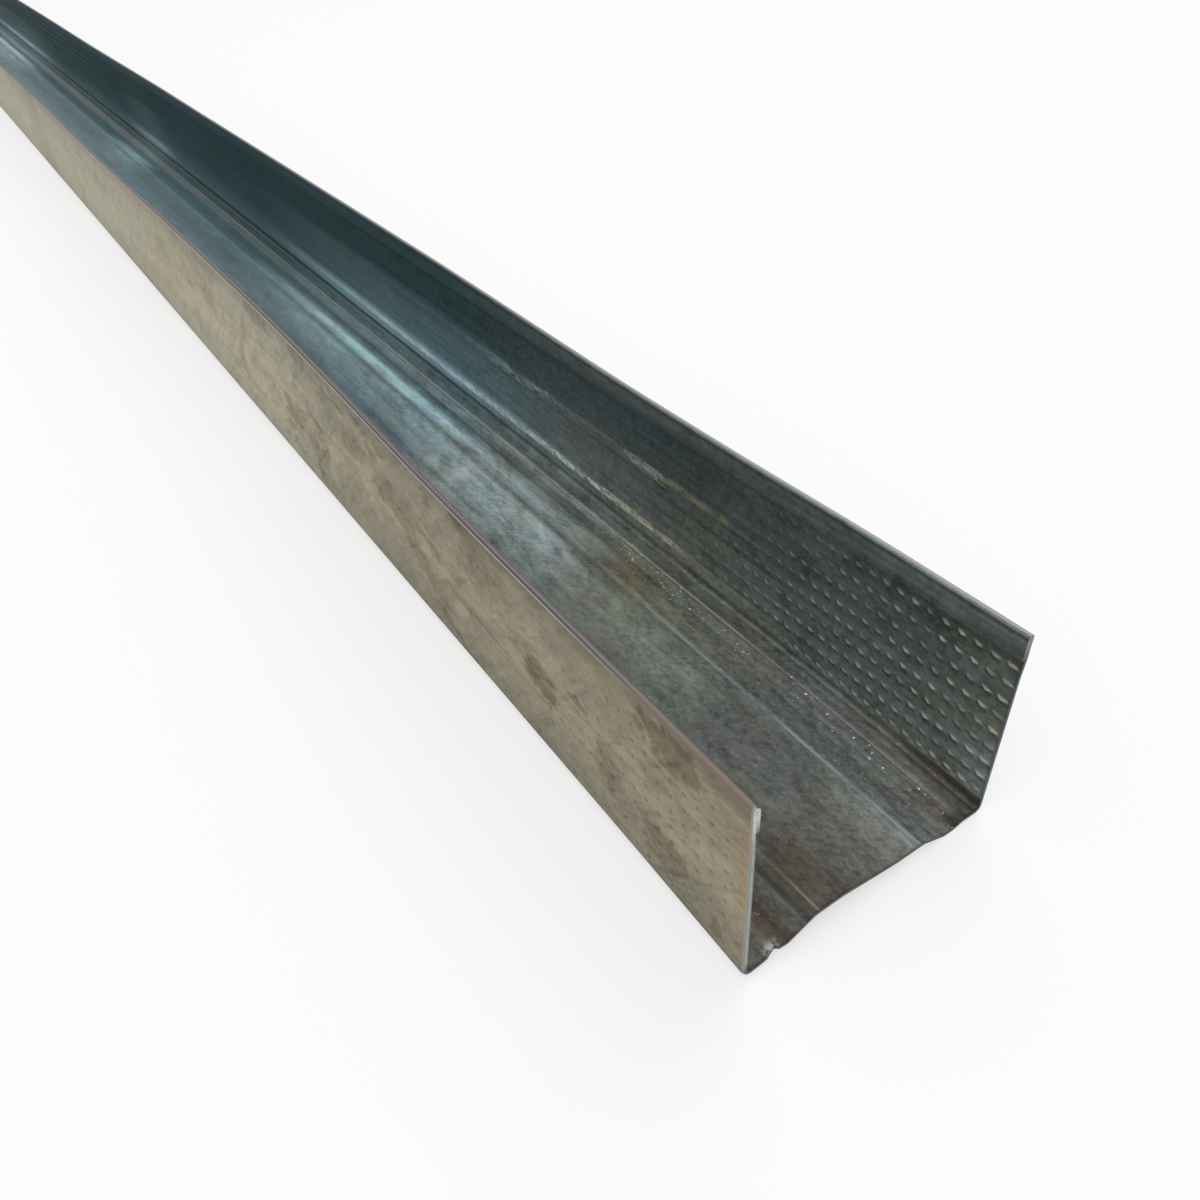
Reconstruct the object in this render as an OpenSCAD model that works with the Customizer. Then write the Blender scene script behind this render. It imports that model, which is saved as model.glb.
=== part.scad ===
// Drywall track: one roll-formed strip of galvanised sheet, bent into a U with
// two ribs along its web and a hem folded inwards along each flange's edge.
// The length runs along X, the web lies flat and the flanges stand along Z.
// X = 0 is mid-length, Y = 0 is mid-width and Z = 0 is where the two ribs rest.

/* [Track] */
// Length of the track, cut square at both ends (10 ft)
track_length = 3048; // [300:1:6100]
// Clear width between the flanges, to take a 1-5/8 in stud
inside_width = 41.3; // [32:0.1:155]
// Height of a flange, from the underside of the strip beside it to its hem's top
flange_height = 31.75; // [12:0.25:90]

/* [Sheet] */
// Thickness of the sheet (25 gauge)
sheet = 0.46; // [0.3:0.01:1.2]
// Inside radius of the bend between the web and a flange
corner_radius = 0.8; // [0.2:0.05:1.6]

/* [Hem] */
// Depth of the hem, from its fold to the sheet's cut edge
hem_depth = 4; // [2:0.1:8]
// Gap left between the hem's two layers
hem_gap = 0.12; // [0.04:0.02:0.6]

/* [Web] */
// Flat strip between the outer face of a flange and its rib
strip_width = 3.6; // [2.6:0.1:6]
// How far a rib drops below that strip
rib_depth = 1.1; // [0.4:0.05:2]
// Width of the short slope, on the flange's side of the rib
rib_outer_slope = 2; // [1.4:0.1:4]
// Width of the flat floor of the rib
rib_floor = 1.6; // [1.2:0.1:5]
// Width of the long slope, up to the middle panel
rib_inner_slope = 4.2; // [2:0.1:6]
// How far the middle panel stands above the strips
panel_rise = 0.6; // [0:0.05:2]
// Inside radius of the bends along the ribs
rib_radius = 0.8; // [0.2:0.05:1.2]

/* [Hidden] */
STEP = 9;            // degrees of bend that one flat of the section makes up

outer_width = inside_width + 2 * sheet;
mid = sheet / 2;     // from a face of the sheet to its middle line

// Heights of the sheet's middle line, up from the underside of the ribs.
rib_z = mid;
strip_z = rib_depth + mid;
panel_z = rib_depth + panel_rise + mid;
fold_z = rib_depth + flange_height - mid;
cut_edge_z = rib_depth + flange_height - hem_depth;

// Places across the track, in from the outer face of a flange.
hem_y = sheet + hem_gap + mid;
rib_start = strip_width;
floor_start = rib_start + rib_outer_slope;
floor_end = floor_start + rib_floor;
panel_start = floor_end + rib_inner_slope;

// Bend radii of the sheet's middle line.
corner_r = corner_radius + mid;
rib_r = rib_radius + mid;
hem_r = (sheet + hem_gap) / 2;

// The sheet's middle line from its cut edge in one hem to mid-web: each corner
// as [distance in from the flange's outer face, height, bend radius].
half_line = [
    [hem_y, cut_edge_z, 0],
    [hem_y, fold_z, hem_r],
    [mid, fold_z, hem_r],
    [mid, strip_z, corner_r],
    [rib_start, strip_z, rib_r],
    [floor_start, rib_z, rib_r],
    [floor_end, rib_z, rib_r],
    [panel_start, panel_z, rib_r]
];
// The other half is the same line mirrored and run the other way.
line = concat(
    [for (c = half_line) [c[0] - outer_width / 2, c[1], c[2]]],
    [for (i = [len(half_line) - 1:-1:0])
        let (c = half_line[i]) [outer_width / 2 - c[0], c[1], c[2]]]);

function heading(a, b) = atan2(b[1] - a[1], b[0] - a[0]);
// The turn from one heading to the next, between -180 and 180 degrees.
function turn(a, b) = let (d = b - a) d > 180 ? d - 360 : d < -180 ? d + 360 : d;
// The point at a distance to the left of a heading.
function left_of(p, head, dist) = [p[0] - dist * sin(head), p[1] + dist * cos(head)];

// Stations [y, z, heading] round the bend at corner b, between corners a and c.
// The arc leaves the first leg and joins the second one without a kink.
function bend(a, b, c) =
    let (h = heading(a, b), t = turn(h, heading(b, c)), side = sign(t),
         run = b[2] * tan(abs(t) / 2), steps = ceil(abs(t) / STEP),
         start = [b[0] - run * cos(h), b[1] - run * sin(h)],
         centre = left_of(start, h, side * b[2]))
    [for (i = [0:steps])
        let (now = h + t * i / steps, p = left_of(centre, now, -side * b[2]))
            [p[0], p[1], now]];

// Stations along the whole middle line: its two cut edges and every bend.
last = len(line) - 1;
all_stations = concat(
    [[line[0][0], line[0][1], heading(line[0], line[1])]],
    [for (i = [1:last - 1])
        let (t = turn(heading(line[i - 1], line[i]), heading(line[i], line[i + 1])))
            each abs(t) < 0.01 ? [] : bend(line[i - 1], line[i], line[i + 1])],
    [[line[last][0], line[last][1], heading(line[last - 1], line[last])]]);
// Where one bend runs straight into the next, their shared station counts once.
stations = [for (i = [0:len(all_stations) - 1])
    if (i == 0 || norm(all_stations[i] - all_stations[i - 1]) > 0.001) all_stations[i]];

// Outline of the sheet's section: half a thickness to each side of the line.
module section() {
    polygon(concat(
        [for (s = stations) left_of(s, s[2], mid)],
        [for (i = [len(stations) - 1:-1:0]) left_of(stations[i], stations[i][2], -mid)]));
}

module track() {
    color([0.56, 0.57, 0.55])
        translate([-track_length / 2, 0, 0])
            rotate([90, 0, 90])
                linear_extrude(track_length)
                    section();
}

track();
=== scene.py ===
import bpy
import numpy as np
from mathutils import Matrix, Vector


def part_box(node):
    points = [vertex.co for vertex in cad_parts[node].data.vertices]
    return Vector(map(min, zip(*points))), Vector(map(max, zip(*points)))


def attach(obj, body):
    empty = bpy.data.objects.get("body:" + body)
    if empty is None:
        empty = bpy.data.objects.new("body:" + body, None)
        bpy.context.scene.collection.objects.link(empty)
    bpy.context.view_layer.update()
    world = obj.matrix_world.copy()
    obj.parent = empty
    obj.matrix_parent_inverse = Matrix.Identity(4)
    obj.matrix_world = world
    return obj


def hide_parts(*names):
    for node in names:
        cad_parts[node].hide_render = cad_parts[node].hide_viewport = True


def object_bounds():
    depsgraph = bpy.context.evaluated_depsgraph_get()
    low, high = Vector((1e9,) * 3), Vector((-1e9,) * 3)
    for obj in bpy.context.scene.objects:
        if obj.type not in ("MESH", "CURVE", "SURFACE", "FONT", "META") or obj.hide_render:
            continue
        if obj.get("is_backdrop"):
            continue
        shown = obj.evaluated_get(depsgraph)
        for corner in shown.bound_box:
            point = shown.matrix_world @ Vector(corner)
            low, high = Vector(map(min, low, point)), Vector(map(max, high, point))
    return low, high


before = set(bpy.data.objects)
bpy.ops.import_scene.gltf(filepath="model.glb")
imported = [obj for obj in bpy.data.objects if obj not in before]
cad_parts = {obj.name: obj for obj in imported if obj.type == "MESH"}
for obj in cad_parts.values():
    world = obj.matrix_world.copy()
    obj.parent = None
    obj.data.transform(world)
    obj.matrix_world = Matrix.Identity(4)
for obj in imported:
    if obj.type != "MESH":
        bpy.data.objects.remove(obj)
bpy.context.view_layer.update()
track_low, track_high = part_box("track")

# ---- Camera -------------------------------------------------------------------
# It stands just past the near end, outside the left flange and above it, and
# looks down along the track, so that the far end runs out at the upper left.
near_end = track_high[0]
eye = Vector((near_end + 0.04289, -0.06247, 0.11022))
look = Vector((-0.6555, 0.3939, -0.6443)).normalized()
up = Vector((-0.5101, 0.3982, 0.7624))
right = look.cross(up).normalized()
turned = Matrix((right, right.cross(look), -look)).transposed()

lens = bpy.data.cameras.new("camera")
lens.sensor_width = 36
lens.lens = 28.97
lens.clip_start, lens.clip_end = 0.005, 60
camera = bpy.data.objects.new("camera", lens)
camera.matrix_world = Matrix.Translation(eye) @ turned.to_4x4()
bpy.context.scene.collection.objects.link(camera)
bpy.context.scene.camera = camera

# ---- Track: the sheet's shape -------------------------------------------------
# One strip of thin galvanised steel, roll-formed into a U: two ribs along the
# web, rows of dimples rolled through both flanges from outside, and the free
# edges folded inwards and pressed flat. Lengths in this section are in mm.
MM = 0.001
SHEET = 0.46
HEM_GAP = 0.12
HEM_DEPTH = 4.0
BEND = 0.8             # inside radius of the bends along the web
TOP = track_high[2] / MM
OUTER = track_high[1] / MM
STRIP_UNDER = 1.1      # the strips beside the flanges stand this high on the ribs
PANEL_UNDER = 1.7      # and the middle panel this high
# In from a flange's outer face: the rib's start, its floor, and the panel's start.
RIB_START, FLOOR_START, FLOOR_END, PANEL_START = 3.6, 5.6, 7.2, 11.4
PANEL_STEPS = 4        # stations from there to mid-web
ROWS, ROW_PITCH, FIRST_ROW = 9, 2.88, 5.9
COLUMN_PITCH, FIRST_COLUMN = 2.5, 1.2
# Half length, half height and depth of a dimple, on the channel's side and outside.
DIMPLE_SIZES = (0.95, 0.75, 0.32), (0.42, 0.36, 0.12)
DIMPLE_SLANT = 0.26    # rise of a dimple's long axis to the mm
# Places along the track, and the share of a dimple's depth that is left there.
DIMPLE_WEAR = [40, 60, 90, 110, 400, 600], [1, 0.9, 0.65, 0.55, 0.55, 1]
# Settings along the track for the lean of the left flange and of the right one.
LEAN_AT = [0, 25, 50, 80, 110, 150, 200, 260, 340]
LEAN = {-1: [0, 0, 0, 0.3, 1.1, 1.8, 1.8, 1.2, 0.5], 1: [0, 0, 0.7, 1, 0.6, 0.1, 0, 0, 0.1]}
# Settings across the web for its swell at the cut end, and how far along it runs.
SWELL = ([0, 1.5, 3.4, 5.6, 9, 12.5, 16, 20, 26, 31, 36.4, 39, 42.2],
         [-0.3, -0.5, -0.3, 1.2, 1.3, 1.5, 1.5, 0.9, 0.1, 0, 0, -0.8, -0.8])
SWELL_REACH = 16
# Settings across the web for the nicks that the shear left in its edge.
NICKS = [3.9, 4.6, 5, 5.4, 5.9, 6.6], [0, 0.5, 0.15, 0.6, 0.1, 0]
NICK_REACH = 0.6
DRAWN, DRAWN_REACH = 0.2, 0.5    # how far the shear drew the sheet over, and from where
PARTS = 6              # lengths that the mesh is split into
length = (track_high[0] - track_low[0]) / MM
columns = int((length - FIRST_COLUMN) // COLUMN_PITCH) + 1


def middle_line():
    """Stations (y, z, heading) along the middle of the sheet's thickness, from
    the cut edge in the left hem to the one in the right. Straight runs join
    arcs that touch both, and the right half is the left half mirrored."""
    mid, hem, bend = SHEET / 2, (SHEET + HEM_GAP) / 2, BEND + SHEET / 2
    strip, panel = STRIP_UNDER + mid, PANEL_UNDER + mid
    inner = SHEET + HEM_GAP + mid
    # Each corner of half the line: y, z, its bend's radius, and the bend's steps.
    runs = [(inner, TOP - HEM_DEPTH, 0, 0), (inner, TOP - mid, hem, 3), (mid, TOP - mid, hem, 3),
            (mid, strip, bend, 4), (RIB_START, strip, bend, 2), (FLOOR_START, mid, bend, 2),
            (FLOOR_END, mid, bend, 2), (PANEL_START, panel, bend, 2), (OUTER, panel, 0, 0)]
    at = np.array([r[:2] for r in runs])
    heading = np.arctan2(*np.diff(at, axis=0).T[::-1])
    found = [[*at[0], heading[0]]]
    for i in range(1, len(runs) - 1):
        before = heading[i - 1]
        turn = (heading[i] - before + np.pi) % (2 * np.pi) - np.pi
        radius, steps = runs[i][2:]
        start = at[i] - radius * np.tan(abs(turn) / 2) * np.array([np.cos(before), np.sin(before)])
        now = before + turn * np.linspace(0, 1, steps + 1)
        bow = np.sign(turn) * radius
        found += list(zip(start[0] + bow * (np.sin(now) - np.sin(now[0])),
                          start[1] - bow * (np.cos(now) - np.cos(now[0])), now))
    half = np.array(found)
    half[:, 2] = np.unwrap(half[:, 2])
    half = half[np.r_[True, np.hypot(*np.diff(half[:, :2], axis=0).T) > 1e-6]]
    # Stations between the rows of dimples, and across the panel to mid-web.
    rows = TOP - FIRST_ROW + ROW_PITCH * (0.5 - np.arange(ROWS + 1))
    flange = np.column_stack([np.full(ROWS + 1, mid), rows, np.full(ROWS + 1, 1.5 * np.pi)])
    top = np.argmax((half[:, 2] > 1.4 * np.pi) & (half[:, 1] < rows[0]))
    half = np.vstack([half[:top], flange, half[top:]])
    row = np.zeros(len(half), bool)
    row[top:top + ROWS] = True
    across = np.linspace(half[-1, 0], OUTER, PANEL_STEPS + 1)[1:]
    flat = np.column_stack([across, np.full(PANEL_STEPS, panel), np.full(PANEL_STEPS, 2 * np.pi)])
    half = np.vstack([half, flat])
    row = np.r_[row, np.zeros(PANEL_STEPS, bool)]
    half[:, 0] -= OUTER
    other = half[-2::-1] * [-1, 1, -1]
    return np.vstack([half, other + [0, 0, 4 * np.pi]]), np.r_[row[:-1], row[-2::-1]]


def toe_in(s, side):
    """How far a flange's free edge leans inwards at s mm from the near end: a
    smooth curve through settings near that end, and slow waves after it."""
    far = 0.6 + 0.4 * np.sin(s / 97 + side) + 0.2 * np.sin(s / 41 + 2 * side)
    fine = np.arange(-60, 480, 4.0)
    window = np.hanning(9) / np.hanning(9).sum()
    close = np.interp(s, fine, np.convolve(np.interp(fine, LEAN_AT, LEAN[side]), window, "same"))
    blend = np.clip((s - 300) / 100, 0, 1)
    return (1 - blend) * close + blend * far


def formed(s, y, z):
    """The sheet as it left the rollers and the shear. A flange's lean grows as
    the 1.4th power of height above its bend; the web swells where it was cut,
    in a smooth profile across it that fades as a bell curve along it, and its
    edge is nicked; and the shear presses the hem's two layers together."""
    side = np.sign(y)
    tall = np.clip((z - 3) / (TOP - 3), 0, 1)
    lean = np.where(side < 0, toe_in(s, -1), toe_in(s, 1)) * tall ** 1.4
    fine = np.arange(-6, 2 * OUTER + 6, 0.25)
    window = np.hanning(13) / np.hanning(13).sum()
    swell = np.interp(y + OUTER, fine, np.convolve(np.interp(fine, *SWELL), window, "same"))
    web = np.clip(1 - (z - 2.4) / 3, 0, 1)
    web = web * web * (3 - 2 * web)
    z = z + swell * web * np.exp(-(s / SWELL_REACH) ** 2)
    s = s + np.interp(y + OUTER, *NICKS) * web * np.exp(-(s / NICK_REACH) ** 2)
    leaf = (np.abs(y) < OUTER - SHEET - HEM_GAP / 2) & (z > TOP - HEM_DEPTH - 0.01)
    shut = leaf * 0.8 * HEM_GAP * np.clip(1 - np.minimum(s, length - s) / 2, 0, 1)
    return s, y + side * (shut - lean), np.maximum(z, 0)


def cut_round(s):
    """How far the shear has drawn the sheet towards the channel at s mm from an
    end: the square of what is left of the reach of the shear."""
    left = np.clip(1 - np.minimum(s, length - s) / DRAWN_REACH, 0, 1)
    return DRAWN * left ** 2


line, dimpled = middle_line()
stations = len(line)
# Edges of the mesh along the track: close together at the cuts, where the sheet
# is drawn over, and then one between any two columns of dimples.
between = FIRST_COLUMN + COLUMN_PITCH / 2 + COLUMN_PITCH * np.arange(columns)
edges = np.concatenate([[0, 0.12, 0.3, DRAWN_REACH], between, length - np.array([0.3, 0.12, 0])])
holds_dimples = (edges[:-1] >= DRAWN_REACH) & (edges[1:] < length - DRAWN_REACH)


def part_of_track(first, last):
    """Vertices, faces, face kinds and corner UVs of the sheet between two of the
    edges along it. Both faces of the sheet are grids of station by edge; where a
    row of dimples crosses a column, six points and a tip take the place of the
    grid's square, and the tip stands towards the channel on both faces."""
    s = edges[first:last + 1]
    k = len(s)
    y0, z0, head = line.T
    normal = np.stack([-np.sin(head), np.cos(head)])
    run = np.r_[0, np.cumsum(np.hypot(np.diff(y0), np.diff(z0)))]
    run = run / run[-1]
    u = 0.02 + 0.96 * np.linspace(0, 1, k)
    bumpy = holds_dimples[first:last, None] & dimpled[None, :]
    dimples = int(bumpy.sum())
    mid_head = head[np.nonzero(bumpy)[1]]
    points, faces, kinds, maps = [], [], [], []
    count = 0
    for side in (0, 1):
        lift = SHEET / 2 * (1 - 2 * side) + cut_round(s)[:, None] * (z0 < TOP - HEM_DEPTH - 1)
        y = y0 + lift * normal[0]
        z = z0 + lift * normal[1]
        along = np.repeat(s[:, None], stations, 1)
        grid = np.stack([along, y, z], -1).reshape(-1, 3)
        points.append(grid)
        v = 0.01 + 0.475 * run if side == 0 else 0.99 - 0.475 * run
        uv = np.stack(np.broadcast_arrays(u[:, None], v[None, :]), -1).reshape(-1, 2)
        index = np.arange(k * stations).reshape(k, stations)
        quad = np.stack([index[:-1, :-1], index[:-1, 1:], index[1:, 1:], index[1:, :-1]], -1)
        plain = quad[~bumpy]
        squares = quad[bumpy]
        # The channel's side of the sheet shows on the outer leaf and the web;
        # the hem's inner leaf shows its other side there.
        turned_in = (head[:-1] < np.pi) | (head[:-1] > 3 * np.pi)
        kind = np.where(turned_in, 1 - side, side)
        kind = np.broadcast_to(kind, bumpy.shape)[~bumpy]
        # A dimple: the square's four corners, then a ring of six and the tip.
        centre = grid[squares].mean(1)
        angle = np.arange(6) * np.pi / 3
        long, tall, deep = DIMPLE_SIZES[side]
        ring = np.zeros((dimples, 7, 3))
        ring[:, :6, 0] = centre[:, None, 0] + long * np.sin(angle)
        for axis, part in ((1, np.cos(mid_head)), (2, np.sin(mid_head))):
            ring[:, :6, axis] = centre[:, None, axis] + tall * np.cos(angle) * part[:, None]
        ring[:, :6, 2] += DIMPLE_SLANT * long * np.sin(angle)
        deep = deep * np.interp(centre[:, 0], *DIMPLE_WEAR)
        ring[:, 6, 0] = centre[:, 0]
        ring[:, 6, 1] = centre[:, 1] - deep * np.sin(mid_head)
        ring[:, 6, 2] = centre[:, 2] + deep * np.cos(mid_head)
        points.append(ring.reshape(-1, 3))
        c = squares.T
        r = len(grid) + np.arange(dimples * 7).reshape(-1, 7).T
        tri = [(c[1], c[2], r[0]), (c[2], c[3], r[2]), (c[3], c[0], r[3]), (c[0], c[1], r[5]),
               (r[1], r[0], c[2]), (r[2], r[1], c[2]), (r[3], r[2], c[3]), (r[4], r[3], c[0]),
               (r[5], r[4], c[0]), (r[0], r[5], c[1])]
        tri += [(r[j], r[(j + 1) % 6], r[6]) for j in range(6)]
        tri = np.concatenate([np.stack(t, -1) for t in tri])
        # UVs of the new points, by their place within the square.
        low, high = uv[squares[:, 0]], uv[squares[:, 2]]
        place = np.stack([(1 + np.sin(angle) * 0.7) / 2, (1 + np.cos(angle) * 0.55) / 2], -1)
        place = np.vstack([place, [0.5, 0.5]])
        new_uv = low[:, None] + (high - low)[:, None] * place
        uv = np.concatenate([uv, new_uv.reshape(-1, 2)])
        for face, its_kind in ((plain, kind), (tri, np.full(len(tri), side))):
            if side:
                face = face[:, ::-1]
            faces.append(face + count)
            kinds.append(its_kind)
            maps.append(uv[face])
        count += len(grid) + dimples * 7
    # Cut edges along the hems, then the two ends; a point on the second face of
    # the sheet comes other_face places after the one on the first.
    other_face = count // 2
    i = np.arange(k) * stations
    for shift, v_a, v_b, flip in ((0, 1.0, 0.99, True), (stations - 1, 0.485, 0.515, False)):
        p, q = i + shift, i + shift + other_face
        quad = np.stack([p[:-1], q[:-1], q[1:], p[1:]], -1)
        tex = np.stack([np.stack([u[:-1], u[:-1], u[1:], u[1:]], -1),
                        np.broadcast_to([v_a, v_b, v_b, v_a], quad.shape)], -1)
        faces.append(quad[:, ::-1] if flip else quad)
        maps.append(tex[:, ::-1] if flip else tex)
        kinds.append(np.full(len(quad), 2))
    i = np.arange(stations)
    v = 0.01 + 0.475 * run
    for shift, u_a, u_b, flip in ((0, 0.015, 0.001, False), ((k - 1) * stations, 0.985, 0.999, True)):
        p, q = i + shift, i + shift + other_face
        quad = np.stack([p[:-1], q[:-1], q[1:], p[1:]], -1)
        tex = np.stack([np.broadcast_to([u_a, u_b, u_b, u_a], quad.shape),
                        np.stack([v[:-1], v[:-1], v[1:], v[1:]], -1)], -1)
        faces.append(quad[:, ::-1] if flip else quad)
        maps.append(tex[:, ::-1] if flip else tex)
        kinds.append(np.full(len(quad), 2))
    s, y, z = formed(*np.concatenate(points).T)
    return np.stack([near_end - s * MM, y * MM, z * MM], -1), faces, kinds, maps


def make_piece(name, first, last, materials):
    """One length of the track as an object: part_of_track's points and faces,
    with a material for each kind of face and the corner UVs as its map."""
    points, faces, kinds, maps = part_of_track(first, last)
    mesh = bpy.data.meshes.new(name)
    mesh.vertices.add(len(points))
    mesh.vertices.foreach_set("co", points.astype(np.float32).ravel())
    corners = np.concatenate([face.ravel() for face in faces])
    sizes = np.concatenate([np.full(len(face), face.shape[1]) for face in faces])
    mesh.loops.add(len(corners))
    mesh.loops.foreach_set("vertex_index", corners.astype(np.int32))
    mesh.polygons.add(len(sizes))
    mesh.polygons.foreach_set("loop_start", np.r_[0, np.cumsum(sizes)[:-1]].astype(np.int32))
    mesh.polygons.foreach_set("material_index", np.concatenate(kinds).astype(np.int32))
    mesh.update(calc_edges=True)
    layer = mesh.uv_layers.new(name="OFBake")
    uvs = np.concatenate([corner_uvs.reshape(-1, 2) for corner_uvs in maps])
    layer.uv.foreach_set("vector", uvs.astype(np.float32).ravel())
    for material in materials:
        mesh.materials.append(material)
    mesh.shade_smooth()
    mesh.set_sharp_from_angle(angle=np.radians(50))
    mesh.validate()
    piece = bpy.data.objects.new(name, mesh)
    bpy.context.scene.collection.objects.link(piece)
    return piece


# ---- Track: its zinc, on the channel's side -----------------------------------
# Hot-dip zinc, streaked by the rollers and by handling: slate grey, darker where
# painted shade stands for the channel's inside, with painted highlights and a painted
# sky reflection in pale bands along the web, and painted highlights on the dimples' tips.
class Flow:
    """One socket of a material's nodes. Adding, taking away, multiplying or
    dividing makes a Math node, and node() makes any other kind: its settings
    come first, then the values or links of its sockets, by name or by number."""

    def __init__(self, tree, socket=None):
        self.tree, self.socket = tree, socket

    def node(self, kind, settings=None, out=0, **sockets):
        made = self.tree.nodes.new("ShaderNode" + kind)
        for name, value in (settings or {}).items():
            if name == "stops":
                ramp = made.color_ramp.elements
                while len(ramp) < len(value):
                    ramp.new(0.5)
                for stop, (where, colour) in zip(ramp, value):
                    stop.position, stop.color = where, colour
            else:
                setattr(made, name, value)
        for name, value in sockets.items():
            pin = made.inputs[int(name[1:]) if name[1:].isdigit() else name.replace("_", " ")]
            if isinstance(value, Flow):
                self.tree.links.new(value.socket, pin)
            else:
                pin.default_value = value
        return Flow(self.tree, made.outputs[out])

    def math(self, operation, a, b=0.0, c=0.0):
        return self.node("Math", {"operation": operation}, i0=a, i1=b, i2=c)

    def __add__(self, other):
        return self.math("ADD", self, other)

    def __radd__(self, other):
        return self.math("ADD", other, self)

    def __sub__(self, other):
        return self.math("SUBTRACT", self, other)

    def __rsub__(self, other):
        return self.math("SUBTRACT", other, self)

    def __mul__(self, other):
        return self.math("MULTIPLY", self, other)

    def __rmul__(self, other):
        return self.math("MULTIPLY", other, self)

    def __truediv__(self, other):
        return self.math("DIVIDE", self, other)

    def __rtruediv__(self, other):
        return self.math("DIVIDE", other, self)

    def rise(self, low, high, start=0.0, end=1.0):
        """Start below low, end above high, and a smooth step between them."""
        smooth = {"interpolation_type": "SMOOTHSTEP"}
        return self.node("MapRange", smooth, i0=self, i1=low, i2=high, i3=start, i4=end)

    def band(self, centre, half, soft):
        """1 within half of centre, 0 past half + soft."""
        return self.math("ABSOLUTE", self - centre).rise(half, half + soft, 1.0, 0.0)

    def blend(self, other, share):
        """This colour, with that share of the other one."""
        return self.node("Mix", {"data_type": "RGBA"}, out=2, i0=share, i6=self, i7=other)

    def tint(self, other, share):
        """This colour, multiplied by the other one to that share."""
        kind = {"data_type": "RGBA", "blend_type": "MULTIPLY"}
        return self.node("Mix", kind, out=2, i0=share, i6=self, i7=other)

    def times(self, value):
        """This colour made brighter or darker by a value."""
        return self.node("VectorMath", {"operation": "SCALE"}, i0=self, i3=value)

    def into(self, pin):
        """Links this socket to a shader's pin."""
        self.tree.links.new(self.socket, pin)


def paint(red, green, blue):
    """A colour as a paint card has it, 0 to 255, turned into light."""
    card = np.array([red, green, blue]) / 255
    light = np.where(card <= 0.04045, card / 12.92, ((card + 0.055) / 1.055) ** 2.4)
    return (*map(float, light), 1.0)


def start_finish(name, metallic):
    """A material, its shader, and (s, y, z) in mm: s runs from the near end."""
    material = bpy.data.materials.new(name)
    material.use_nodes = True
    shader = material.node_tree.nodes["Principled BSDF"]
    shader.inputs["Metallic"].default_value = metallic
    here = Flow(material.node_tree).node("TexCoord", out=3)
    x, y, z = [here.node("SeparateXYZ", out=i, i0=here) / MM for i in range(3)]
    return material, shader, near_end / MM - x, y, z


def noise(s, y, z, along, across, detail=2.0, shift=0.0, warp=0.0, rough=0.5):
    """Noise about 0 with so many lumps to the mm along the track and across it."""
    place = s.node("CombineXYZ", i0=s * along + shift, i1=y * across, i2=z * across)
    return s.node("TexNoise", i0=place, Scale=1.0, Detail=detail, Roughness=rough, Distortion=warp) - 0.5


def two_tone(share, first, second):
    """The first paint, with that share of the second one."""
    kind = {"data_type": "RGBA"}
    return share.node("Mix", kind, out=2, i0=share, i6=paint(*first), i7=paint(*second))


def tone_ramp(value, width, dark, pale, shares):
    """Zinc between a dark tone and a pale one: shares gives how much of the pale
    one shows at settings of value, in mm, from 0 to width."""
    place = value / width
    stops = [(at / width, (share, share, share, 1.0)) for at, share in shares]
    return two_tone(place.node("ValToRGB", {"stops": stops}, i0=place), dark, pale)


def lattice(s, z, wide, tall, up=0.0, core=0.5):
    """1 on a spot in the middle of every dimple, fading to 0 past its rim."""
    first = TOP - FIRST_ROW + up
    ds = s.math("FRACT", (s - FIRST_COLUMN) / COLUMN_PITCH + 0.5) - 0.5
    dz = s.math("FRACT", (first - z) / ROW_PITCH + 0.5) - 0.5
    dz = (dz * ROW_PITCH + ds * (DIMPLE_SLANT * COLUMN_PITCH)) / tall
    ds = ds * COLUMN_PITCH / wide
    spot = (ds * ds + dz * dz).rise(core, 1.5, 1.0, 0.0)
    rows = z.band(first - ROW_PITCH * (ROWS - 1) / 2, ROW_PITCH * ROWS / 2 - 0.3, 0.2)
    return spot * rows


# Across the web, yf runs from the left flange's outer face; up the flanges, zf
# runs from the strips beside them.
ZINC_METAL = 0.6
WALL_SPAN, WEB_SPAN = 32, 42.3
channel_side, shader, s, y, z = start_finish("channel_side", ZINC_METAL)
yf = y + OUTER
zf = z - STRIP_UNDER
# The tones change along the track; past the first stretch they come and go.
slow = noise(s, y, z, 0.0035, 0.0, 1.0, 3.7)
t = s + (slow.rise(-0.3, 0.3, 130.0, 430.0) - s) * s.rise(330, 430)
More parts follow.
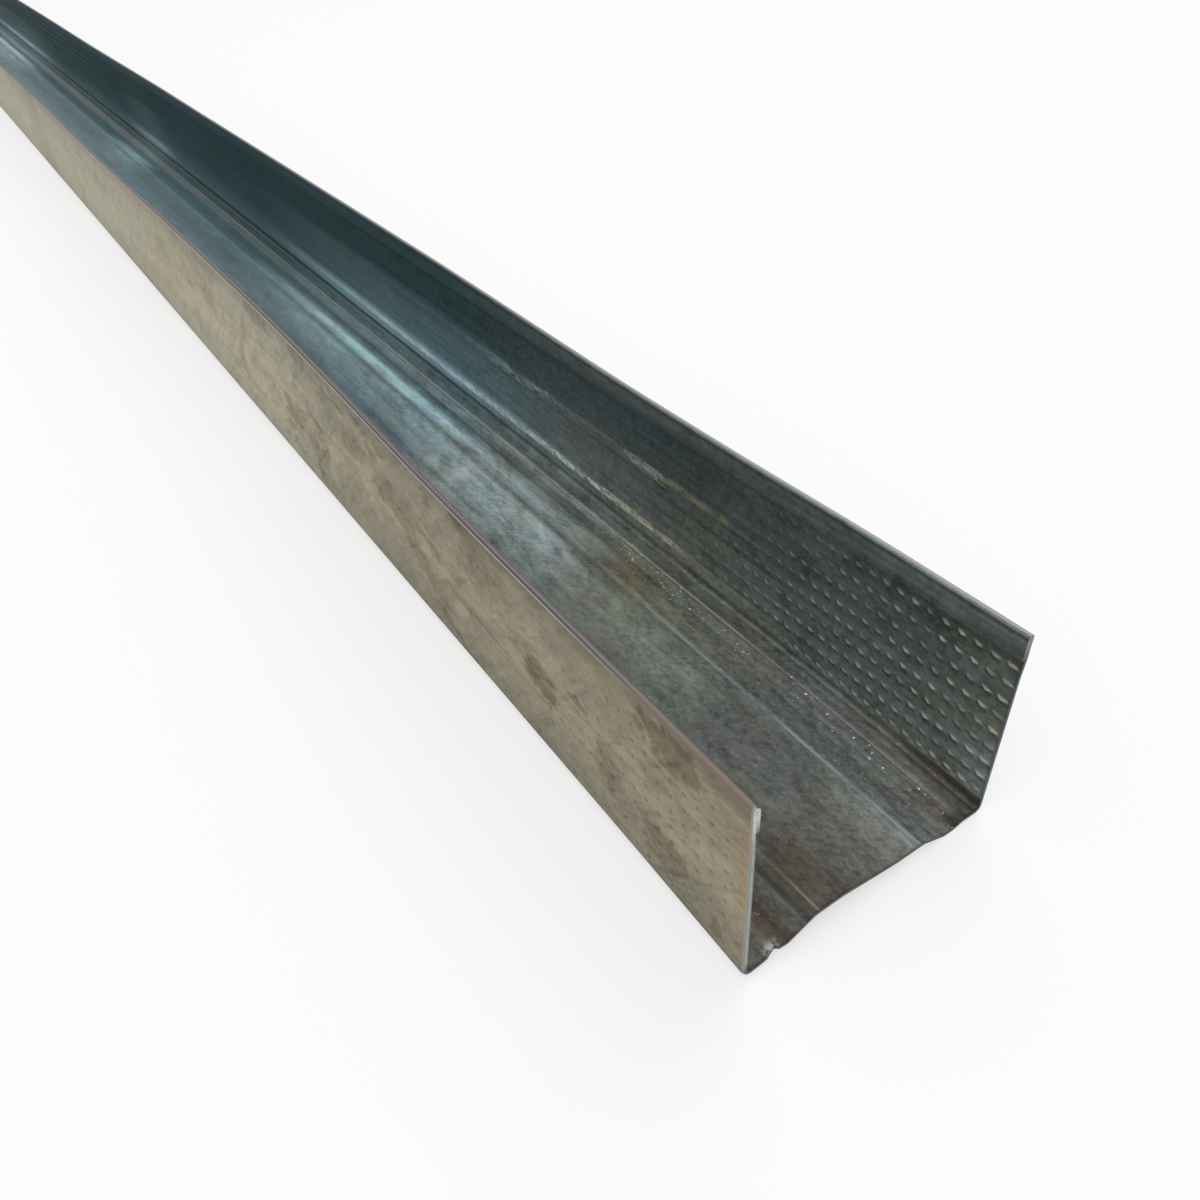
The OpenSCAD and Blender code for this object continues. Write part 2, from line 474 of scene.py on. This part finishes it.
# Four looks up the flange and six across the web, from the near end on: a dark
# tone, a pale one, and the pale one's share from the bend up or from the left.
# Much of it is painted light: the pale shares peak as painted highlights on the
# bends, the ribs' edges and the inner corners, the pale blue of the later looks
# is a painted reflection of the sky, and the dark tones hold painted shade.
wall = [
    ((102, 113, 111), (170, 184, 182), [(2, 0.9), (2.8, 0.2), (4.5, 0.25), (7, 0.25), (11, 0.25),
                                        (17, 0.05), (24, 0), (28, 0), (30, 0.05)]),
    ((82, 95, 97), (172, 174, 167), [(2, 0.85), (3, 0.6), (4.4, 1), (5.6, 0.4), (13, 0.3),
                                     (17.5, 0.25), (20, 0.05), (28, 0), (30, 0.15)]),
    ((60, 84, 88), (206, 232, 244), [(2, 0.85), (3, 0.5), (4.4, 1), (5.6, 0.65), (7, 0.2),
                                     (17.5, 0.15), (20, 0)]),
    ((52, 80, 86), (122, 147, 153), [(2, 1), (10, 0.25), (15, 0.15), (23, 0)])]
web = [
    ((65, 60, 50), (142, 148, 143), [(0, 0.15), (5, 0.2), (7, 0), (8.3, 0.25), (9.9, 0.3), (10.4, 0),
                                     (17, 0.1), (20, 0.35), (25, 0.55), (28, 0.8), (31.5, 1), (36, 0.7),
                                     (37.5, 0.2), (38.6, 0.8), (40.2, 0.45), (41, 0), (42.2, 0.3)]),
    ((85, 88, 84), (136, 143, 140), [(0, 0.2), (12, 0), (20, 0.1), (26, 0.15), (28, 0.2), (31.5, 0.7),
                                     (34.5, 0.9), (36, 0.35), (37.5, 0.05), (38.6, 0.25), (40.2, 0.6),
                                     (41, 0), (42.2, 0.6)]),
    ((90, 100, 92), (145, 148, 134), [(0, 0.1), (12, 0), (20, 0.15), (26, 0.55), (29.5, 0.25), (31, 0.85),
                                      (34.5, 1), (36, 0.25), (38.6, 0), (41, 0.2), (42.2, 0.55)]),
    ((88, 95, 91), (186, 206, 210), [(0, 0.15), (14, 0.15), (20, 0.25), (23, 0.45), (28, 0.6), (29.5, 0.15),
                                     (30.6, 0.45), (31.5, 1), (34.5, 0.7), (36, 0.1), (37.2, 0),
                                     (38.6, 0.45), (39.4, 0.1), (41, 0.15)]),
    ((82, 102, 107), (210, 248, 255), [(0, 0.05), (14, 0.1), (20, 0), (28, 0.3), (29.5, 0.1), (30.5, 0.5),
                                       (31.5, 1), (32.8, 1), (34.5, 0.3), (36, 0), (37.8, 0.1), (41, 0)]),
    ((54, 77, 81), (100, 130, 138), [(0, 0.4), (20, 0.7), (26, 0.35), (31.5, 1), (34.5, 0.75), (36, 0.25),
                                     (41, 0)])]
wall_tone = tone_ramp(zf, WALL_SPAN, *wall[0])
for look, low, high in zip(wall[1:], (35, 90, 210), (70, 150, 300)):
    wall_tone = wall_tone.blend(tone_ramp(zf, WALL_SPAN, *look), t.rise(low, high))
web_tone = tone_ramp(yf, WEB_SPAN, *web[0])
for look, low, high in zip(web[1:], (8, 30, 67, 115, 190), (18, 50, 94, 150, 290)):
    web_tone = web_tone.blend(tone_ramp(yf, WEB_SPAN, *look), t.rise(low, high))
on_web = s.math("MAXIMUM", z.rise(2.3, 3.6, 1.0, 0.0), yf.band(OUTER, 15.5, 1.5))
wall_share = 1 - on_web
colour = wall_tone.blend(web_tone, on_web)

# Rolled streaks, slanting strokes, blotches and a crisp grain; all soften
# further along the track.
streaks = noise(s, y, z, 0.014, 1.1, 4.0, rough=0.65)
strokes = noise(s + y * 1.1, y - s * 0.5, z, 0.09, 0.5, 4.0, 9.0, 0.4, 0.6)
blotch = noise(s, y, z, 0.09, 0.16, 4.0, 21.0, 0.6, 0.6)
grain = noise(s, y, z, 0.8, 1.2, 5.0, 5.0, 0.3, 0.74)
hairs = noise(s - y * 0.9, y + s * 0.9, z * 0.3, 0.25, 1.6, 3.0, 31.0, 1.2, 0.6)
wisps = noise(s, y, z, 0.07, 0.4, 4.0, 55.0, 0.5, 0.62)
clouds = noise(s, y, z, 0.22, 0.3, 3.0, 12.0, 0.8, 0.6)
bands = noise(s, y, z, 0.012, 0.33, 2.0, 50.0)
marks = clouds * wall_share * t.rise(40, 90, 1.15, 0.75) * t.rise(145, 190, 1.0, 0.35)
marks += bands * wall_share * t.rise(40, 80, 0.1, 0.7)
marks += streaks * (0.55 + wall_share * 0.7)
marks += strokes * (0.4 + on_web * 0.6)
marks += blotch * (0.55 + on_web * 0.15)
marks += grain * (t.rise(90, 190, 1.5, 0.8) + on_web * t.rise(30, 80, 0.8, -0.3))
marks += hairs * (0.5 + on_web * 0.4)
marks += wisps * on_web * t.rise(25, 80, 0.9, 2.0)
colour = colour.times(1 + marks * t.rise(110, 260, 1.0, 0.4))
# Brown and violet casts where oil and handling have stained the zinc.
oiled = yf.band(35.2, 2.9, 1.6) * t.rise(44, 58) * t.rise(92, 122, 1.0, 0.0)
oiled = oiled * on_web * grain.rise(-0.08, 0.08, 0.2, 1.0)
handled = noise(s, y, z, 0.06, 0.2, 4.0, 40.0)
brown = handled.rise(-0.02, 0.14) * (wall_share * t.rise(10, 40, 0.18, 0.0) + 0.22)
brown += handled.rise(-0.14, 0.1) * oiled * 0.65
colour = colour.tint(paint(255, 230, 190), brown)
mauve = noise(s, y, z, 0.07, 0.22, 3.0, 71.0).rise(0.0, 0.14, 0.0, 0.6) * on_web
colour = colour.tint(paint(250, 234, 240), mauve)

# Lines along the web, mostly painted light: painted highlights on the edges of the
# panels and ribs, painted shade on the slopes beside them, and one brown stain.
# For each: place, half width, softness, how much of each shows, and its paint.
broken = noise(s, y, z, 0.09, 0.6, 4.0, 80.0, 0.0, 0.6).rise(-0.16, 0.12, 0.25, 1.0)
highlight_shade_and_stain_lines = [
    (30.15, 0.14, 0.22, t.rise(35, 80, 1.0, 0.15) * 0.8, (160, 178, 186)),
    (30.75, 0.2, 0.3, t.rise(20, 70, 0.35, 0.0), (74, 92, 96)),
    (38.5, 0.1, 0.16, t.rise(20, 60, 0.4, 0.65), (166, 148, 138)),
    (38.2, 0.06, 0.16, 0.6, (60, 56, 54)),
    (39.4, 0.12, 0.3, 0.4, (80, 90, 98)),
    (12.2, 0.08, 0.2, s.rise(2, 7, 0.7, 0.2), (142, 134, 120)),
    (11.1, 0.1, 0.25, 0.25, (116, 126, 134)),
    (9.9, 0.12, 0.25, 0.4, (116, 126, 134)),
    (10.5, 0.35, 0.5, 0.4, (66, 72, 76)),
    (6.6, 0.5, 1.2, 0.6, (84, 66, 54))]
for at, half, soft, share, line_tone in highlight_shade_and_stain_lines:
    colour = colour.blend(paint(*line_tone), yf.band(at, half, soft) * (broken * on_web * share))

# Pale streaks along the flanges, painted in as highlights: height, half width,
# where each starts, over how far it grows, where it stops, over how far it fades,
# and its paint.
pale_streaks = [
    (16.9, 0.9, 96, 12, 125, 25, (160, 176, 178)), (16.9, 0.9, 78, 6, 96, 10, (118, 122, 120)),
    (16.9, 0.9, 69, 3, 78, 6, (196, 200, 196)), (17.4, 0.6, 50, 6, 69, 4, (158, 148, 112)),
    (4.2, 0.5, 82, 8, 190, 25, (240, 248, 244)), (4.3, 0.55, 62, 8, 82, 10, (230, 224, 194))]
dashes = noise(s, y, z, 0.3, 1.1, 4.0, 44.0, 0.3, 0.6)
streak_highlight = 0.0
for at, half, start, grow, stop, fade, streak_tone in pale_streaks:
    streak = zf.band(at, half, 0.6) * t.rise(start, start + grow) * t.rise(stop, stop + fade, 1.0, 0.0)
    streak = streak * wall_share * broken * (0.65 + grain * 3.5 + dashes * 5.0).rise(0.0, 1.0)
    colour = colour.blend(paint(*streak_tone), streak)
    streak_highlight = streak + streak_highlight

# Painted highlights on the tips of the dimples, and painted shade under each: plain
# near the cut end and lost among the streaks further on, the upper rows first.
seen = ((t + zf * 1.3).rise(28, 88, 1.0, 0.06) + s.rise(400, 600, 0.0, 0.55)) * wall_share
tip_unevenness = noise(s, y, z, 0.16, 0.35, 3.0, 60.0, 0.0, 0.65).rise(-0.12, 0.1, 0.3, 1.0)
tip_highlight_tone = two_tone(s.rise(3, 9, 1.0, 0.0) * zf.rise(3, 13), (216, 226, 216), (222, 206, 178))
tip_highlights = lattice(s, z, s.rise(1, 6, 0.95, 0.66), 0.26, 0.16, 0.1)
colour = colour.times(1 - lattice(s, z, 0.9, 0.42, -0.55) * seen * 0.36)
colour = colour.blend(tip_highlight_tone, tip_highlights * (tip_unevenness * seen * (0.85 + grain * 1.4)))
# Painted glints: sparkles of light on the zinc, crowded along the right rib.
glint = (noise(s, y, z, 1.9, 2.4, 1.0, 90.0) + t.band(76, 16, 12) * 0.04).rise(0.18, 0.24)
glint = glint * noise(s, y, z, 0.25, 0.4, 1.0, 95.0).rise(-0.12, 0.04)
crowd = t.rise(75, 108, 0.8, 0.0) * yf.band(34.6, 3.6, 1.2) + t.rise(100, 160, 0.12, 0.0)
glint_tone = two_tone(t.rise(30, 55), (214, 224, 220), (206, 188, 150))
colour = colour.blend(glint_tone, glint * crowd * on_web)
# Darker in the corner that the shear pushed down, and a painted highlight on the
# burr by the other.
corner_darkening = s.rise(1.2, 3.5, 0.6, 0.0) * yf.band(38.6, 1.6, 0.8) * blotch.rise(-0.1, 0.05, 0.4, 1.0)
colour = colour.times(1 - corner_darkening)
burr_highlight = s.rise(0.5, 2.2, 0.9, 0.0) * yf.band(5.0, 0.7, 0.8) * grain.rise(-0.1, 0.04) * on_web
colour = colour.blend(paint(168, 176, 166), burr_highlight)
# The flange's free edge: painted shade on the inner side of the left fold's crown
# and just under the crowns, and a painted shadow under the edge of the hem's inner
# leaf near the cut end.
colour = colour.blend(paint(98, 92, 84), zf.rise(31.0, 31.3) * y.rise(-5, 0, 0.85, 0.0))
colour = colour.times(1 - zf.band(31.1, 0.15, 0.25) * 0.45 - zf.band(27.8, 1.2, 1) * s.rise(3, 9, 0.3, 0.0))
colour.into(shader.inputs["Base Color"])
rough = 0.55 - streaks * 0.14 + blotch * 0.1
rough.into(shader.inputs["Roughness"])
# The streaks are less of a metal than the zinc round them, so that their painted
# highlight shows brighter.
metal = ZINC_METAL - streak_highlight.rise(0.1, 0.9) * 0.45
metal.into(shader.inputs["Metallic"])
height = grain * 1.2 + strokes * 0.7 + streaks * 0.5
bumps = s.node("Bump", Strength=0.45, Distance=0.06 * MM, Height=height)
bumps.into(shader.inputs["Normal"])

# ---- Track: its zinc, on the wallboard's side ----------------------------------
# The face that met fewer rollers: a dull warm grey, with darker stains, hatched
# rub marks and faint smears along the length; the dimples show as small dents,
# with painted shade in them near the cut end.
board_side, shader, s, y, z = start_finish("board_side", ZINC_METAL)
zf = z - STRIP_UNDER
# A look beside the cut end and one further on, as on the channel's side.
near_look = (104, 100, 85), (140, 134, 114), [(0, 0), (1.5, 0.3), (8, 0.65), (14, 1), (20, 0.85), (31, 0.5)]
far_look = (123, 121, 104), (156, 151, 132), [(0, 0), (3, 0.7), (14, 1), (31, 0.5)]
slow = noise(s, y, z, 0.006, 0.0, 1.0, 8.1)
t = s + (slow.rise(-0.2, 0.2, 125.0, 260.0) - s) * s.rise(330, 430)
colour = tone_ramp(zf, WALL_SPAN, *near_look).blend(tone_ramp(zf, WALL_SPAN, *far_look), t.rise(105, 160))
wobble = noise(s, y, z, 0.3, 0.42, 5.0, 2.0, 0.8, 0.6)
stain = noise(s, y, z, 0.05, 0.1, 5.0, 33.0, 0.9, 0.6).rise(0.03, 0.1, 0.0, 0.75)
stain = stain * s.rise(45, 60) * s.rise(140, 220, 1.0, 0.6)
# Single stains: place along and up, half length, half height, and strength.
patches = [
    (14, 27.8, 6, 3.6, 1.0), (43.5, 15.2, 4.8, 4, 1.0), (27.5, 12, 3.4, 4, 0.6),
    (15, 8.2, 4.6, 3.4, 0.65), (83, 13.8, 4.5, 2.4, 0.8), (107, 23, 6.5, 3.4, 0.6),
    (95, 20, 4, 3, 0.5), (33.5, 18.8, 2.6, 0.9, 0.9), (60, 24, 7, 4, 0.5), (5, 4, 1.0, 2.0, 0.8)]
for at, high, long, tall, depth in patches:
    ds, dz = (s - at) / long, (zf - high) / tall
    patch = (ds * ds + dz * dz + wobble * 3.2).rise(0.6, 1.2, depth, 0.0)
    stain = s.math("MAXIMUM", stain, patch)
# Rub marks slant up towards the near end; smears run with the length.
slant = noise(zf * 0.62 - s * 0.78, zf * 0.78 + s * 0.62, y, 0.075, 0.42, 5.0, 14.0, 0.7, 0.6)
hatch = slant.rise(0.03, 0.14)
wisp = slant.rise(-0.16, -0.04, 1.0, 0.0)
streak = noise(s, y, z, 0.02, 0.8, 5.0, 27.0, 0.0, 0.6)
mottle = noise(s, y, z, 0.13, 0.2, 6.0, 17.0, 0.9, 0.6)
grain = noise(s, y, z, 0.7, 1.0, 4.0, 6.0, 0.2, 0.7)
marks = streak * 0.6 + mottle * s.rise(120, 200, 1.2, 0.75) + wobble * s.rise(120, 200, 0.4, 0.0)
marks += grain * s.rise(100, 200, 0.9, 0.4) + wisp * 0.12
marks = marks - hatch * 0.2 - stain * 0.42
colour = colour.times(1.08 + marks * s.rise(140, 260, 1.0, 0.6))
colour = colour.tint(paint(255, 245, 222), stain * 0.7 + 0.3)
# Painted shade in the dents, strongest beside the cut end.
dent_shade = lattice(s, z, 0.36, 0.3) * s.rise(18, 45, 0.26, 0.03)
colour = colour.times(1 - dent_shade)
# A warm tinge beside the cut end, a dull band under the fold, the fold's crown
# with a painted highlight along it and painted shade on its far side, and the
# cut's drawn lip.
colour = colour.blend(paint(158, 116, 76), s.rise(0.5, 3, 0.3, 0.0) * zf.band(20, 7, 4))
colour = colour.times(1 - zf.rise(28, 30.5) * 0.16 - zf.rise(0.2, 2.2, 0.22, 0.0))
crisp = s.rise(12, 40)
crown = two_tone(crisp, (116, 107, 96), (112, 106, 108))
crown = crown.blend(paint(166, 156, 142), zf.band(31.3, 0.1, 0.08) * crisp)
crown = crown.blend(paint(62, 56, 54), zf.band(31.56, 0.05, 0.05) * crisp * 0.9)
right_crown = two_tone(zf.rise(31.45, 31.65), (70, 66, 62), (146, 142, 138))
crown = crown.blend(right_crown, y.rise(-1, 1))
colour = colour.blend(crown, zf.rise(31.15, 31.25))
lip = s.rise(0.2, 0.5, 0.8, 0.0) * z.rise(1.5, 2.5) * y.rise(-3, 0, 1.0, 0.2)
colour = colour.blend(paint(148, 149, 140), lip)
colour.into(shader.inputs["Base Color"])
rough = 0.55 + mottle * 0.14
rough.into(shader.inputs["Roughness"])
bumps = s.node("Bump", Strength=0.3, Distance=0.05 * MM, Height=grain * 0.6 + mottle * 0.8)
bumps.into(shader.inputs["Normal"])

# ---- Track: its cut edges, and the whole strip --------------------------------
# Bare steel and drawn zinc, where the slitter cut the strip's long edges and the
# shear cut its ends. The strip is one sheet of metal, whose mesh is kept in six
# closed lengths, end to end.
cut_edge, shader, s, y, z = start_finish("cut_edge", ZINC_METAL)
grain = noise(s, y, z, 2.0, 2.0, 3.0)
colour = two_tone(grain.rise(-0.2, 0.2), (176, 182, 178), (196, 202, 198))
# The web's end is painted dark as shade, since it faces down, and the right
# flange's end darker with it.
end_darkening = z.rise(2, 4.5, 0.28, 1.0) * y.rise(-5, 5, 1.0, 0.35) * z.rise(27, TOP - 2, 0.62, 1.05)
inner_leaf = y.rise(SHEET - OUTER, SHEET + HEM_GAP - OUTER) * z.rise(TOP - HEM_DEPTH, TOP - 1.5, 0.6, 0.0)
colour = colour.times(end_darkening * (1 - inner_leaf))
colour.into(shader.inputs["Base Color"])
shader.inputs["Roughness"].default_value = 0.4

materials = [channel_side, board_side, cut_edge]
splits = np.round(np.linspace(0, len(edges) - 1, PARTS + 1)).astype(int)
for i in range(PARTS):
    piece = make_piece(f"track_{i + 1}", splits[i], splits[i + 1], materials)
    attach(piece, "root")
    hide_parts("track")

# ---- Floor, backdrop and lamps ------------------------------------------------
# A studio's smooth pale floor and white walls, with one large soft lamp on the
# left of the track and a weaker one on its right.
REACH = 12
LIT_PLACE = 1.2, 0, 0
floor_mesh = bpy.data.meshes.new("floor")
corners = [(-REACH, -REACH, 0), (REACH, -REACH, 0), (REACH, REACH, 0), (-REACH, REACH, 0)]
floor_mesh.from_pydata(corners, [], [(0, 1, 2, 3)])
floor = bpy.data.objects.new("floor", floor_mesh)
bpy.context.scene.collection.objects.link(floor)
floor_finish = bpy.data.materials.new("floor")
floor_finish.use_nodes = True
shader = floor_finish.node_tree.nodes["Principled BSDF"]
shader.inputs["Base Color"].default_value = (0.9, 0.9, 0.9, 1)
shader.inputs["Roughness"].default_value = 0.9


def shown(tree):
    """1 on the rays that show a surface: the camera's, and the ones that metal
    mirrors or glass lets through."""
    kinds = ("Camera", "Glossy", "Transmission")
    direct, mirrored, through = [Flow(tree).node("LightPath", out=f"Is {kind} Ray") for kind in kinds]
    return direct + mirrored + through


# Seen directly or in metal, the floor shows under half of its shadows, and far
# off it is white.
seen_by = shown(floor_finish.node_tree)
place = seen_by.node("TexCoord", out="Object")
distance = place.node("VectorMath", {"operation": "LENGTH"}, out="Value", i0=place)
white = seen_by.node("Emission")
bare = Flow(floor_finish.node_tree, shader.outputs[0])
floor_look = seen_by.node("MixShader", i0=seen_by * distance.rise(2.5, 6.0, 0.6, 1.0), i1=bare, i2=white)
floor_look.into(floor_finish.node_tree.nodes["Material Output"].inputs["Surface"])
floor_mesh.materials.append(floor_finish)
floor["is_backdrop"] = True

world = bpy.data.worlds.new("studio")
bpy.context.scene.world = world
world.use_nodes = True
# The studio's walls look white, and light the track half as strongly.
background = world.node_tree.nodes["Background"]
background.inputs["Color"].default_value = (1, 1, 1, 1)
strength = shown(world.node_tree).rise(0.0, 1.0, 0.5, 1.0)
strength.into(background.inputs["Strength"])


def lamp(name, place, size, power):
    """A round soft lamp at that place, turned towards the track's near end."""
    data = bpy.data.lights.new(name, "AREA")
    data.shape, data.size, data.energy = "DISK", size, power
    obj = bpy.data.objects.new(name, data)
    obj.location = place
    obj.rotation_mode = "QUATERNION"
    obj.rotation_quaternion = (Vector(LIT_PLACE) - Vector(place)).to_track_quat("-Z", "Y")
    bpy.context.scene.collection.objects.link(obj)


lamp("key", (2.1, -1.2, 2.8), 2.4, 44)
lamp("fill", (0.5, 1.6, 2.6), 2.6, 27)

bpy.context.scene.view_settings.view_transform = "Standard"

low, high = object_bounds()
